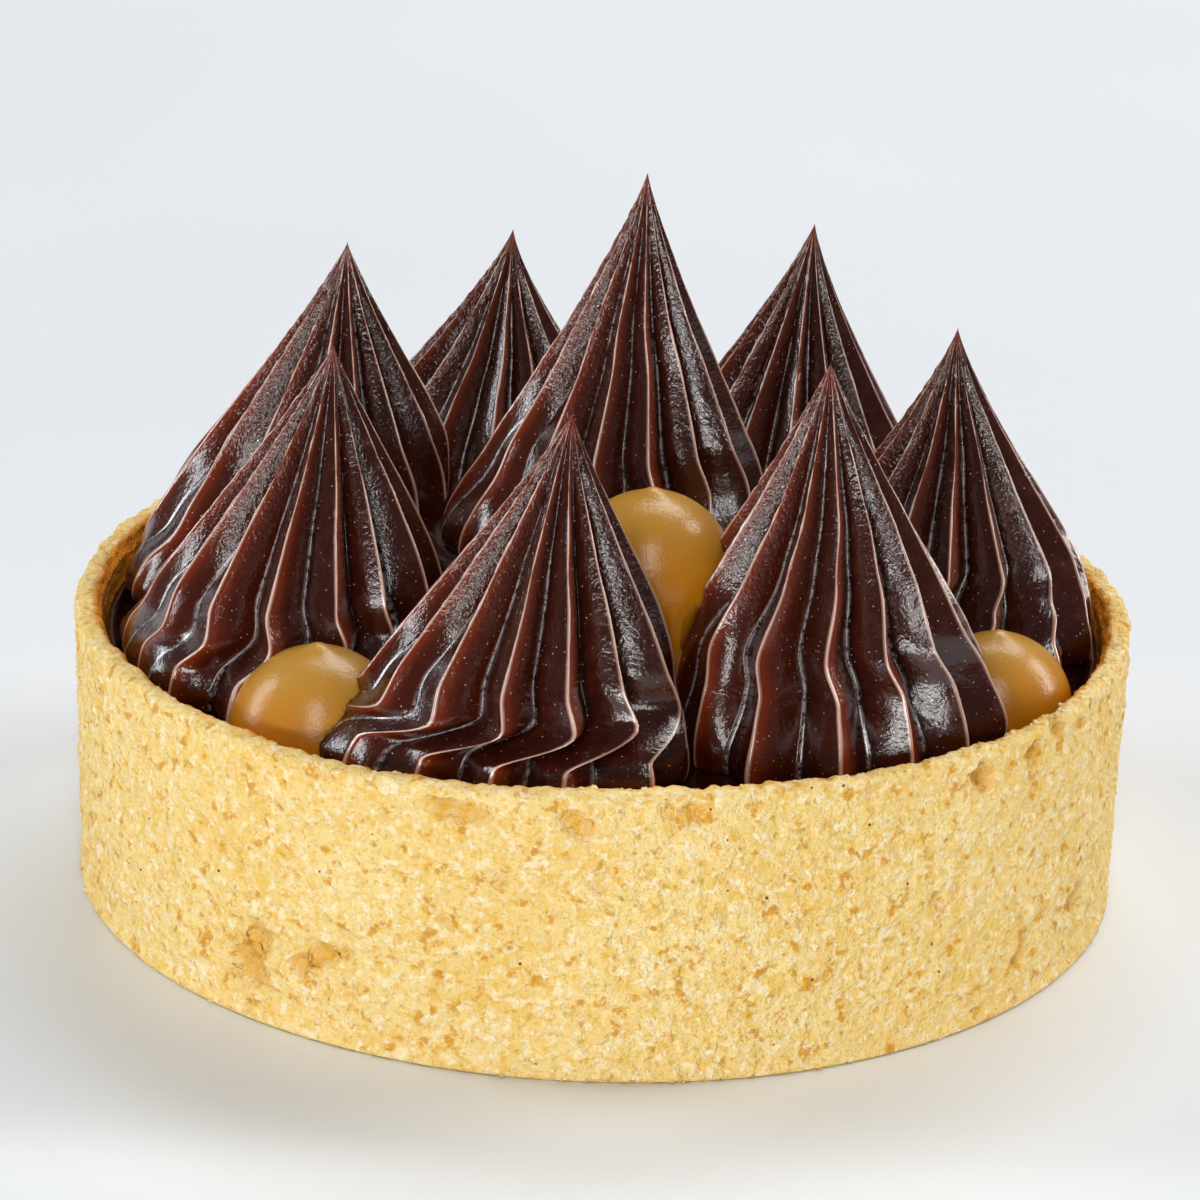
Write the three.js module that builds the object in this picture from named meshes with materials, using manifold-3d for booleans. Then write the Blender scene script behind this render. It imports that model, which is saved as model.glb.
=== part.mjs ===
// A small chocolate tart, in millimetres with +Z up and the origin at the middle of its underside.
//
// A straight-sided pastry shell is filled with ganache to just below its rim, and the ganache is heaped
// into a mound in the middle. Eight chocolate stars stand on it, each piped straight down from a fourteen-
// toothed nozzle and pulled up to a needle point: seven in a ring, pressed against the shell and each
// other, and one on the mound. Drops of soft caramel fill gaps between the stars.
import * as THREE from "three";
import { mergeVertices } from "three/addons/utils/BufferGeometryUtils.js";
import Module from "manifold-3d";

const wasm = await Module();
wasm.setup();

// Shell: pastry lined in a 75 mm ring, 20 mm deep.
const SHELL_RADIUS = 37.5;
const SHELL_HEIGHT = 20.8;
const WALL = 2.6;
const FLOOR = 2.5;
const BASE_TAPER = 0.4;
const FOOT_ROUND = 1.0;
const RIM_ROUND = 1.0;
const INNER_CORNER = 1.0;
const SHELL_SEGMENTS = 64;
const INNER_RADIUS = SHELL_RADIUS - WALL;
// The most that the uneven shell stands inside its true circle.
const SHELL_SLACK = 0.25;

// Filling: level ganache with a mound under the middle star.
const FILL_LEVEL = SHELL_HEIGHT - 3.2;
const MOUND_RADIUS = 12.8;
const MOUND_HEIGHT = 7.2;
const MOUND_SHOULDER = 1.6;

// Clearance between pieces that lie against each other.
const GAP = 0.3;

// Stars: all come from one nozzle. A level is a share of the height, from the tip (0) to the foot (1), and
// the rings of points are closest together at both ends. A star's sides start hollow at the tip.
const TEETH = 14;
const STAR_RINGS = 18;
const GROOVE_DEPTH = 0.28;
const HOLLOW_POWER = 1.35;
const FOOT_TUCK = 0.16;
const PRESS_SOFTNESS = 9;

const radians = THREE.MathUtils.degToRad;
const smoothstep = THREE.MathUtils.smoothstep;

// Each star, with its foot azimuth degrees from the front (-Y) towards +X and out from the tart's axis.
// lean is how far the tip stands to the +X side of the foot, and bend how that is shared: below 1 the star
// bends near its foot. full runs from 0, hollow-sided, to 1, plump. turns is where the first ridge is, in
// degrees, at each of the levels in TURN_LEVELS: ridges sway as they come down, and the foot sweeps round.
const TURN_LEVELS = [0, 0.35, 0.5, 0.68, 0.78, 0.88];
const STARS = {
  star_front: {
    azimuth: -14, out: 23.1, radius: 14.4, height: 23.7,
    lean: 3.1, bend: 0.86, full: 0.26,
    turns: [21.1, 24.1, 25.7, 25.6, 28.8, 3],
  },
  star_front_right: {
    azimuth: 40.5, out: 22.4, radius: 14.3, height: 26,
    lean: -0.2, bend: 0.96, full: 0.26,
    turns: [23.3, 21.5, 18, 13, 17.5, 18],
  },
  star_right: {
    azimuth: 95, out: 23.5, radius: 14.5, height: 22.6,
    lean: 0.4, bend: 0.86, full: 0.11,
    turns: [11.2, 15.3, 13.2, 12.8, 6, 0],
  },
  star_back_right: {
    azimuth: 147, out: 23, radius: 14, height: 24.5,
    lean: 1.7, bend: 1.4, full: 0.15,
    turns: [10.6, 12, 11.9, 11.9, 12, 6],
  },
  star_back_left: {
    azimuth: 203, out: 23.2, radius: 16.4, height: 22.7,
    lean: 1.6, bend: 1.45, full: 0.1,
    turns: [17.9, 16.6, 13.7, 11.5, 11.5, 4],
  },
  star_left: {
    azimuth: 247, out: 23.4, radius: 16, height: 25.1,
    lean: 2.7, bend: 0.48, full: 0.21,
    turns: [26, 28.5, 29, 34, 36, 30],
  },
  star_front_left: {
    azimuth: 293, out: 23, radius: 14.3, height: 23.4,
    lean: 2.4, bend: 0.88, full: 0.27,
    turns: [2.9, 2.2, 1, 1.2, 5.5, -3],
  },
  star_middle: {
    azimuth: 300, out: 0.6, radius: 12.8, height: 26.4,
    lean: 2.5, bend: 0.45, full: 0.18,
    turns: [22.3, 22, 25.2, 25.1, 28.5, 26],
  },
};

// Each caramel drop. Its widest part is a dome's height below its top.
const DROPS = {
  caramel_front_left: { azimuth: -42.5, out: 28, width: 12, height: 6.5 },
  caramel_inner_front: { azimuth: 11.5, out: 15.2, width: 11.4, height: 16.2 },
  caramel_right: { azimuth: 67.5, out: 29.2, width: 10.4, height: 5.4 },
  caramel_back_right: { azimuth: 121, out: 28.4, width: 11, height: 5.6 },
  caramel_inner_back: { azimuth: 174, out: 15.2, width: 11, height: 14.6 },
  caramel_back_left: { azimuth: 225, out: 28, width: 11.6, height: 6.2 },
};
const DROP_SEGMENTS = 20;
const DOME_SHARE = 1.08;
const NIPPLE_SHARE = 0.07;

// Point of the tart at an azimuth from the front and a distance from the axis.
function place(azimuth, out) {
  const angle = radians(azimuth - 90);
  return new THREE.Vector2(out * Math.cos(angle), out * Math.sin(angle));
}

// Closed surface from a flat underside up through rings of points to a tip, on a lathe's grid of faces.
// Each ring, from the top down, has a height z and a function at, from the step of the way round to a
// point.
function ringedGeometry(tip, rings, segments, centre) {
  const upwards = [...rings].reverse();
  const corner = new THREE.Vector2(0, 0);
  const outline = [corner, ...rings.map((ring, row) => new THREE.Vector2(1, row)), corner];
  const geometry = new THREE.LatheGeometry(outline, segments);
  const position = geometry.getAttribute("position");
  const rows = outline.length;
  for (let step = 0; step <= segments; step++) {
    const first = step * rows;
    position.setXYZ(first, centre.x, centre.y, upwards[0].z);
    upwards.forEach((ring, row) => {
      const point = ring.at(step % segments);
      position.setXYZ(first + row + 1, point.x, point.y, ring.z);
    });
    position.setXYZ(first + rows - 1, tip.x, tip.y, tip.z);
  }
  return geometry;
}

// Slow unevenness of the hand-lined shell at an angle round it: of its radius, and of its rim's height.
function roundness(angle) {
  return -0.004 * Math.cos(2 * angle) - 0.002 * Math.cos(3 * angle + 0.2);
}
function rimSwell(angle) {
  return 0.012 * Math.cos(2 * angle + 2.2) + 0.009 * Math.cos(5 * angle + 0.6);
}

// Revolves an outline of (radius, height) points about Z and makes it as uneven as the shell. The mound in
// the middle stays round, and only what stands above the filling follows the rim.
function unevenLathe(outline) {
  const geometry = new THREE.LatheGeometry(outline, SHELL_SEGMENTS);
  const position = geometry.getAttribute("position");
  for (let step = 0; step <= SHELL_SEGMENTS; step++) {
    const angle = ((step % SHELL_SEGMENTS) / SHELL_SEGMENTS) * 2 * Math.PI;
    outline.forEach(({ x: radius, y: height }, row) => {
      const outer = smoothstep(radius, MOUND_RADIUS, INNER_RADIUS - INNER_CORNER);
      const uneven = radius * (1 + outer * roundness(angle));
      const swell = outer * smoothstep(height, FILL_LEVEL, SHELL_HEIGHT) * rimSwell(angle);
      const index = step * outline.length + row;
      const x = uneven * Math.cos(angle);
      const y = uneven * Math.sin(angle);
      position.setXYZ(index, x, y, height * (1 + swell));
    });
  }
  return geometry;
}

// Points of an arc, with its angles in degrees.
function arc(x, y, radius, from, to, steps) {
  const points = [];
  for (let i = 0; i <= steps; i++) {
    const angle = radians(from + ((to - from) * i) / steps);
    points.push(new THREE.Vector2(x + radius * Math.cos(angle), y + radius * Math.sin(angle)));
  }
  return points;
}

function shellGeometry() {
  const footRadius = SHELL_RADIUS - BASE_TAPER;
  return unevenLathe([
    new THREE.Vector2(0, 0),
    ...arc(footRadius - FOOT_ROUND, FOOT_ROUND, FOOT_ROUND, -90, 0, 2),
    ...arc(SHELL_RADIUS - RIM_ROUND, SHELL_HEIGHT - RIM_ROUND, RIM_ROUND, 0, 90, 2),
    ...arc(INNER_RADIUS + RIM_ROUND, SHELL_HEIGHT - RIM_ROUND, RIM_ROUND, 90, 180, 2),
    new THREE.Vector2(INNER_RADIUS, FLOOR + INNER_CORNER),
    new THREE.Vector2(INNER_RADIUS - INNER_CORNER, FLOOR),
    new THREE.Vector2(0, FLOOR),
  ]);
}

function fillingGeometry() {
  const radius = INNER_RADIUS - GAP;
  const bottom = FLOOR + GAP;
  const moundTop = FILL_LEVEL + MOUND_HEIGHT;
  return unevenLathe([
    new THREE.Vector2(0, bottom),
    new THREE.Vector2(radius - INNER_CORNER, bottom),
    new THREE.Vector2(radius, bottom + INNER_CORNER),
    new THREE.Vector2(radius, FILL_LEVEL),
    new THREE.Vector2(MOUND_RADIUS, FILL_LEVEL),
    ...arc(MOUND_RADIUS - MOUND_SHOULDER, moundTop - MOUND_SHOULDER, MOUND_SHOULDER, 0, 90, 2),
    new THREE.Vector2(0, moundTop),
  ]);
}

// Vertical planes that a star in the ring is pressed against: just clear of the mound, and part of the way
// to each other star in the ring, in proportion to their radii. The middle star has its mound to itself.
function pressingPlanes(star) {
  if (onMound(star)) return [];
  const here = place(star.azimuth, star.out);
  const inward = here.clone().normalize().negate();
  const planes = [{ normal: inward, limit: -(MOUND_RADIUS + GAP) }];
  for (const other of Object.values(STARS)) {
    if (other === star || onMound(other)) continue;
    const there = place(other.azimuth, other.out);
    const normal = there.clone().sub(here).normalize();
    const reach = (here.distanceTo(there) * star.radius) / (star.radius + other.radius);
    planes.push({ normal, limit: here.dot(normal) + reach - GAP / 2 });
  }
  return planes;
}
function onMound(star) {
  return star.out < MOUND_RADIUS;
}

// How far a star can spread from a point of its spine, in a direction, before it meets a plane or the
// shell wall.
function room(spine, direction, planes, wall) {
  const along = spine.dot(direction);
  const distances = [Math.sqrt(along * along + wall * wall - spine.lengthSq()) - along];
  for (const { normal, limit } of planes) {
    const facing = direction.dot(normal);
    if (facing > 0) distances.push((limit - spine.dot(normal)) / facing);
  }
  return distances;
}

// The least of some lengths, eased where two are nearly equal.
function softLeast(lengths) {
  const sum = lengths.reduce((total, length) => total + length ** -PRESS_SOFTNESS, 0);
  return sum ** (-1 / PRESS_SOFTNESS);
}

// Crest radius of an unpressed star, as a share of its foot radius.
function crestShare(full, level) {
  const hollow = level ** HOLLOW_POWER;
  const plump = 1 - (1 - level) ** 2;
  return (hollow + full * (plump - hollow)) * (1 - FOOT_TUCK * smoothstep(level, 0.9, 1));
}

// Share of the crest radius at a level and a step of half a tooth: every second one is the bottom of a
// groove. Grooves are shallow at the tip and fill in again at the foot.
function ridgeShare(step, level) {
  const opening = 0.5 + 0.5 * smoothstep(level, 0, 0.3);
  const closing = 1 - 0.35 * smoothstep(level, 0.8, 0.95);
  return step % 2 === 0 ? 1 : 1 - GROOVE_DEPTH * opening * closing;
}

// Where the first ridge has turned to at a level, in radians, eased from each listed level to the next.
function ridgeTurn(turns, level) {
  let total = turns[0];
  for (let i = 1; i < turns.length; i++) {
    total += (turns[i] - turns[i - 1]) * smoothstep(level, TURN_LEVELS[i - 1], TURN_LEVELS[i]);
  }
  return radians(total);
}

// A closed surface round a star's crests. share gives the part of the crest radius that it has at a step
// of the way round and a level, and grow widens it all over.
function starSurface(star, segments, share, grow) {
  const foot = FILL_LEVEL + (onMound(star) ? MOUND_HEIGHT : 0);
  const wall = onMound(star) ? MOUND_RADIUS : INNER_RADIUS - SHELL_SLACK - GAP;
  const planes = pressingPlanes(star);
  const centre = place(star.azimuth, star.out);
  const rings = [];
  for (let row = 1; row <= STAR_RINGS; row++) {
    const level = (1 - Math.cos((Math.PI * row) / STAR_RINGS)) / 2;
    const spine = new THREE.Vector2(centre.x + star.lean * (1 - level) ** star.bend, centre.y);
    const free = star.radius * crestShare(star.full, level);
    const at = (step) => {
      const angle = (step / segments) * 2 * Math.PI + ridgeTurn(star.turns, level);
      const direction = new THREE.Vector2(Math.cos(angle), Math.sin(angle));
      const crest = softLeast([free, ...room(spine, direction, planes, wall)]);
      return direction.multiplyScalar(crest * share(step, level) + grow).add(spine);
    };
    rings.push({ z: foot + star.height * (1 - level), at });
  }
  if (grow > 0) rings.push({ z: foot - grow, at: rings[rings.length - 1].at });
  const tip = new THREE.Vector3(centre.x + star.lean, centre.y, foot + star.height + grow);
  return ringedGeometry(tip, rings, segments, centre);
}

// One piped star.
function starGeometry(star) {
  return starSurface(star, 2 * TEETH, ridgeShare, 0);
}

// The seat that a star takes out of the caramel beside it: its crests joined straight across, a gap wider.
function seatGeometry(star) {
  return starSurface(star, TEETH, () => 1, GAP);
}

// A free caramel drop: a tapering foot, a dome and a small nipple where the nozzle was pulled away.
function dropGeometry({ azimuth, out, width, height }) {
  const centre = place(azimuth, out);
  const radius = width / 2;
  const dome = Math.min(height, radius * DOME_SHARE);
  const widest = height - dome;
  const ring = (share, rise) => ({
    z: FILL_LEVEL + rise,
    at: (step) => {
      const angle = (step / DROP_SEGMENTS) * 2 * Math.PI;
      const reach = radius * share;
      const x = centre.x + reach * Math.cos(angle);
      const y = centre.y + reach * Math.sin(angle);
      return new THREE.Vector2(x, y);
    },
  });
  const rings = [78, 62, 46, 30, 15, 0].map((angle) => {
    const rise = widest + dome * (1 - NIPPLE_SHARE) * Math.sin(radians(angle));
    return ring(Math.cos(radians(angle)), rise);
  });
  if (widest > 0) rings.push(ring(0.86, 0));
  const tip = new THREE.Vector3(centre.x, centre.y, FILL_LEVEL + height);
  return ringedGeometry(tip, rings, DROP_SEGMENTS, centre);
}

// A geometry as a manifold-3d solid, and back.
function solidOf(geometry) {
  const bare = geometry.clone();
  bare.deleteAttribute("normal");
  bare.deleteAttribute("uv");
  const merged = mergeVertices(bare, 1e-4);
  const mesh = new wasm.Mesh({
    numProp: 3,
    vertProperties: merged.getAttribute("position").array,
    triVerts: new Uint32Array(merged.index.array),
  });
  return new wasm.Manifold(mesh);
}
function geometryOf(solid) {
  const mesh = solid.getMesh();
  const geometry = new THREE.BufferGeometry();
  geometry.setAttribute("position", new THREE.Float32BufferAttribute(mesh.vertProperties, 3));
  geometry.setIndex(new THREE.BufferAttribute(mesh.triVerts, 1));
  geometry.computeVertexNormals();
  return geometry;
}

// The part of a caramel drop that is left between the things it was squeezed against.
function fittedDropGeometry(drop, seats) {
  const cut = seats.reduce((solid, seat) => solid.subtract(seat), solidOf(dropGeometry(drop)));
  const [largest] = cut.decompose().sort((a, b) => b.volume() - a.volume());
  return geometryOf(largest);
}

const pastry = new THREE.MeshStandardMaterial({ color: 0xe9c987, roughness: 0.85, metalness: 0 });
const ganache = new THREE.MeshStandardMaterial({ color: 0x2b1712, roughness: 0.35, metalness: 0 });
const pipedChocolate = new THREE.MeshStandardMaterial({ color: 0x3c1e16, roughness: 0.35, metalness: 0 });
const caramel = new THREE.MeshStandardMaterial({ color: 0xbe8a44, roughness: 0.2, metalness: 0 });

const tart = new THREE.Group();

function add(name, geometry, material) {
  const mesh = new THREE.Mesh(geometry, material);
  mesh.name = name;
  tart.add(mesh);
}

add("pastry_shell", shellGeometry(), pastry);
add("filling", fillingGeometry(), ganache);
for (const [name, star] of Object.entries(STARS)) {
  add(name, starGeometry(star), pipedChocolate);
}

// The caramel is cut back from the stars and, where it lies against the mound, from the mound.
const moundOutline = [
  new THREE.Vector2(0, 0),
  new THREE.Vector2(MOUND_RADIUS + GAP, 0),
  new THREE.Vector2(MOUND_RADIUS + GAP, FILL_LEVEL + MOUND_HEIGHT + GAP),
  new THREE.Vector2(0, FILL_LEVEL + MOUND_HEIGHT + GAP),
];
const starSeats = Object.values(STARS).map((star) => solidOf(seatGeometry(star)));
const seats = [solidOf(unevenLathe(moundOutline)), ...starSeats];
for (const [name, drop] of Object.entries(DROPS)) {
  add(name, fittedDropGeometry(drop, seats), caramel);
}

export default tart;
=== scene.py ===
# %% [markdown]
# # A small chocolate tart
#
# The tart is a straight-sided shortcrust case filled with ganache. Eight chocolate stars are piped
# on it, each pulled up to a point, and drops of soft caramel are squeezed into gaps between them.
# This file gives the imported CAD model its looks, piece by piece, in Blender. Everything is in
# metres, in the CAD model's own frame: +Z is up, the front star is towards -Y, and the origin is
# the middle of the underside.
#
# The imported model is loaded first, because every piece below stands where one of its nodes stands.

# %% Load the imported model
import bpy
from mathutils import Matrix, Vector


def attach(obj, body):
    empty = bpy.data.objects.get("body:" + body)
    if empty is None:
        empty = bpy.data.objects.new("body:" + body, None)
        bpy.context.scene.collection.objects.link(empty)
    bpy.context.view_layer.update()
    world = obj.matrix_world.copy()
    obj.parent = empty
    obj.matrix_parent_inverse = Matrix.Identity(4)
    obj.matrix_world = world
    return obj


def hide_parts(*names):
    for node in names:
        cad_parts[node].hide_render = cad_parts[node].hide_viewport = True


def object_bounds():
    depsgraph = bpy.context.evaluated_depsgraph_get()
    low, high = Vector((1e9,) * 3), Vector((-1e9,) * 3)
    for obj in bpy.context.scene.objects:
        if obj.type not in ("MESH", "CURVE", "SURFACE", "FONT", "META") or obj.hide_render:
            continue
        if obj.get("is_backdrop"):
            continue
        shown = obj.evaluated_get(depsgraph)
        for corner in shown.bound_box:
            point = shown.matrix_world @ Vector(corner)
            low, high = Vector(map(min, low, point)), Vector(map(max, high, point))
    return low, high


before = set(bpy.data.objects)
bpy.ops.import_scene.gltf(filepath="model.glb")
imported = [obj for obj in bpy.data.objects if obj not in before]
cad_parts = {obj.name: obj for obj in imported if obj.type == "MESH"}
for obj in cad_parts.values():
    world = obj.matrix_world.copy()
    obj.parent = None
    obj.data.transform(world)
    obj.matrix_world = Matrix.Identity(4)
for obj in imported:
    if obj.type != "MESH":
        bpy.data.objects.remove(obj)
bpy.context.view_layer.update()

# %% Modules and units
import math
import bmesh
import bpy
import numpy as np
from mathutils import Quaternion, Vector

MM = 0.001
print("nodes:", len(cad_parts))

# %% [markdown]
# ## Sizes
#
# The sizes are the ones that the solids were made with, in millimetres. The case was lined in a
# tart ring, so it is nearly a true circle, and two slow waves make it as uneven as dough that was
# pressed in by hand. The visible crust lies a little inside those solids, because crumbs and pits
# are worked into it and must not swell it.

# %% Sizes of the case and the filling
SHELL_RADIUS = 37.5
SHELL_HEIGHT = 20.8
INNER_RADIUS = 34.9
FLOOR = 2.5
FILL_LEVEL = 17.6
MOUND_RADIUS = 12.8
MOUND_HEIGHT = 7.2
ROUND_STEPS = 800


def roundness(angle):
    return -0.004 * np.cos(2 * angle) - 0.002 * np.cos(3 * angle + 0.2)


def rim_swell(angle):
    return 0.012 * np.cos(2 * angle + 2.2) + 0.009 * np.cos(5 * angle + 0.6)


def smoothstep(value, low, high):
    share = np.clip((value - low) / (high - low), 0, 1)
    return share * share * (3 - 2 * share)


print("filling stands", round(SHELL_HEIGHT - FILL_LEVEL, 1), "mm below the rim")

# %% [markdown]
# ## Helpers for modelling
#
# The case, the ganache and the caramel drops are all turned shapes. Each could be spun from an
# outline, but a disc that is extruded and scaled ring by ring closes itself at both ends, and each
# ring keeps its place. The helper below does that with the same edit-mode operators that a modeller
# would use. Points are then read and written as one array of millimetres, which is how the waves
# and the ridges are pressed into the blanks.


# %% Modelling helpers
def deselect_all():
    if bpy.context.object and bpy.context.object.mode != "OBJECT":
        bpy.ops.object.mode_set(mode="OBJECT")
    bpy.ops.object.select_all(action="DESELECT")


def make_active(piece):
    deselect_all()
    piece.select_set(True)
    bpy.context.view_layer.objects.active = piece


def turned_blank(name, outline, steps):
    """A closed turned solid: a disc drawn out through rings of (radius, height)."""
    deselect_all()
    radius, height = outline[0]
    bpy.ops.mesh.primitive_circle_add(
        vertices=steps, radius=radius * MM, fill_type="NGON", location=(0, 0, height * MM)
    )
    piece = bpy.context.object
    piece.name = piece.data.name = name
    bpy.ops.object.transform_apply(location=True, rotation=True, scale=True)
    bpy.ops.object.mode_set(mode="EDIT")
    bpy.ops.mesh.select_all(action="SELECT")
    for next_radius, next_height in outline[1:]:
        rise = (0, 0, (next_height - height) * MM)
        bpy.ops.mesh.extrude_region_move(TRANSFORM_OT_translate={"value": rise})
        grow = next_radius / radius
        bpy.ops.transform.resize(value=(grow, grow, 1), center_override=(0, 0, next_height * MM))
        radius, height = next_radius, next_height
    bpy.ops.object.mode_set(mode="OBJECT")
    return piece


def cut_between(piece, low, high, outside, inside, cuts):
    """Cuts extra rings into the upright faces between two heights and two radii."""
    make_active(piece)
    bpy.ops.object.mode_set(mode="EDIT")
    bpy.context.tool_settings.mesh_select_mode = (False, True, False)
    bpy.ops.mesh.select_all(action="DESELECT")
    shape = bmesh.from_edit_mesh(piece.data)
    for edge in shape.edges:
        ends = [v.co / MM for v in edge.verts]
        heights = sorted(end.z for end in ends)
        radii = [math.hypot(end.x, end.y) for end in ends]
        upright = heights[1] - heights[0] > 0.5
        within = heights[0] > low - 0.01 and heights[1] < high + 0.01
        if upright and within and inside <= min(radii) and max(radii) <= outside:
            edge.select = True
    bmesh.update_edit_mesh(piece.data)
    bpy.ops.mesh.subdivide(number_cuts=cuts)
    bpy.ops.object.mode_set(mode="OBJECT")


def points_of(piece):
    flat = np.empty(len(piece.data.vertices) * 3)
    piece.data.vertices.foreach_get("co", flat)
    return flat.reshape(-1, 3) / MM


def set_points(piece, points):
    piece.data.vertices.foreach_set("co", (points * MM).ravel())
    piece.data.update()


def weight_group(piece, name, weights):
    """A vertex group with the given weights, rounded so that equal ones are set together."""
    group = piece.vertex_groups.new(name=name)
    rounded = np.round(np.clip(weights, 0, 1), 2)
    for value in np.unique(rounded):
        if value > 0:
            group.add(np.nonzero(rounded == value)[0].tolist(), float(value), "REPLACE")


def store(piece, name, values):
    attribute = piece.data.attributes.new(name, "FLOAT", "POINT")
    attribute.data.foreach_set("value", values.astype(np.float32))


def displace(piece, texture, depth, level=1.0, group=""):
    """Moves the surface along its normals by a texture, in millimetres, and applies it."""
    make_active(piece)
    modifier = piece.modifiers.new("relief", "DISPLACE")
    modifier.texture = texture
    modifier.texture_coords = "LOCAL"
    modifier.strength = depth * MM
    modifier.mid_level = level
    modifier.vertex_group = group
    bpy.ops.object.modifier_apply(modifier=modifier.name)


def clouds(name, size, depth=2, contrast=1.0):
    """A cloud texture whose lumps are about so many millimetres across."""
    texture = bpy.data.textures.new(name, "CLOUDS")
    texture.noise_basis = "ORIGINAL_PERLIN"
    texture.noise_scale = size * MM
    texture.noise_depth = depth
    texture.contrast = contrast
    return texture


def finish_piece(piece, nodes, material):
    """Rides the piece on the tart, gives it its finish, and hides the nodes that it stands in for."""
    make_active(piece)
    bpy.ops.object.shade_smooth()
    piece.data.materials.clear()
    piece.data.materials.append(material)
    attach(piece, "root")
    if nodes:
        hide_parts(*nodes)
    piece.data.calc_loop_triangles()
    print(piece.name, len(piece.data.loop_triangles), "triangles")


# %% [markdown]
# ## Helpers for materials
#
# All the finishes here are food: fine grains, mottled colour and a soft gloss. Two effects are
# shared by several of them, so each is a node group that is built once. "grain" turns fine and
# rough noise into a bumped normal, for sandy crumbs and for the slight unevenness of chocolate and
# caramel. "mottle" is a soft mask for blotches of another colour. Both read object coordinates, in
# millimetres after a Mapping node, so a pattern keeps its real size on every piece.


# %% Node helpers and groups
def socket(tree, name, direction, kind, value=None):
    """Gives a node group a named input or output."""
    made = tree.interface.new_socket(name=name, in_out=direction, socket_type=kind)
    if value is not None:
        made.default_value = value


def node(tree, kind, **values):
    """A new node: an input is set by its name, and any other word is a property."""
    made = tree.nodes.new(kind)
    for key, value in values.items():
        name = key.replace("_", " ")
        if name in made.inputs:
            made.inputs[name].default_value = value
        else:
            setattr(made, key, value)
    return made


def link_all(tree, *pairs):
    for source, target in pairs:
        tree.links.new(source, target)


def grain_group():
    """Fine and rough noise, each with its depth in millimetres, as one bumped normal."""
    tree = bpy.data.node_groups.new("grain", "ShaderNodeTree")
    socket(tree, "Place", "INPUT", "NodeSocketVector")
    socket(tree, "Scale", "INPUT", "NodeSocketFloat", 4.0)
    socket(tree, "Depth", "INPUT", "NodeSocketFloat", 0.05)
    socket(tree, "Rough Scale", "INPUT", "NodeSocketFloat", 1.2)
    socket(tree, "Rough Depth", "INPUT", "NodeSocketFloat", 0.1)
    socket(tree, "Normal", "OUTPUT", "NodeSocketVector")
    inside = node(tree, "NodeGroupInput")
    outside = node(tree, "NodeGroupOutput")
    fine = node(tree, "ShaderNodeTexNoise", Detail=2.0, Roughness=0.6)
    rough = node(tree, "ShaderNodeTexNoise", Detail=3.0, Roughness=0.55)
    fine_height = node(tree, "ShaderNodeMath", operation="MULTIPLY")
    rough_height = node(tree, "ShaderNodeMath", operation="MULTIPLY")
    both = node(tree, "ShaderNodeMath", operation="ADD")
    bump = node(tree, "ShaderNodeBump", Strength=1.0, Distance=MM)
    link_all(
        tree,
        (inside.outputs["Place"], fine.inputs["Vector"]),
        (inside.outputs["Place"], rough.inputs["Vector"]),
        (inside.outputs["Scale"], fine.inputs["Scale"]),
        (inside.outputs["Rough Scale"], rough.inputs["Scale"]),
        (fine.outputs["Fac"], fine_height.inputs[0]),
        (inside.outputs["Depth"], fine_height.inputs[1]),
        (rough.outputs["Fac"], rough_height.inputs[0]),
        (inside.outputs["Rough Depth"], rough_height.inputs[1]),
        (fine_height.outputs["Value"], both.inputs[0]),
        (rough_height.outputs["Value"], both.inputs[1]),
        (both.outputs["Value"], bump.inputs["Height"]),
        (bump.outputs["Normal"], outside.inputs["Normal"]),
    )
    return tree


def mottle_group():
    """A soft-edged mask, from 0 where the noise is below From to 1 where it is above To."""
    tree = bpy.data.node_groups.new("mottle", "ShaderNodeTree")
    socket(tree, "Place", "INPUT", "NodeSocketVector")
    socket(tree, "Scale", "INPUT", "NodeSocketFloat", 1.0)
    socket(tree, "From", "INPUT", "NodeSocketFloat", 0.5)
    socket(tree, "To", "INPUT", "NodeSocketFloat", 0.6)
    socket(tree, "Mask", "OUTPUT", "NodeSocketFloat")
    inside = node(tree, "NodeGroupInput")
    outside = node(tree, "NodeGroupOutput")
    noise = node(tree, "ShaderNodeTexNoise", Detail=3.0, Roughness=0.6)
    span = node(tree, "ShaderNodeMapRange", interpolation_type="SMOOTHSTEP")
    link_all(
        tree,
        (inside.outputs["Place"], noise.inputs["Vector"]),
        (inside.outputs["Scale"], noise.inputs["Scale"]),
        (noise.outputs["Fac"], span.inputs["Value"]),
        (inside.outputs["From"], span.inputs["From Min"]),
        (inside.outputs["To"], span.inputs["From Max"]),
        (span.outputs["Result"], outside.inputs["Mask"]),
    )
    return tree


GRAIN = grain_group()
MOTTLE = mottle_group()


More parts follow.
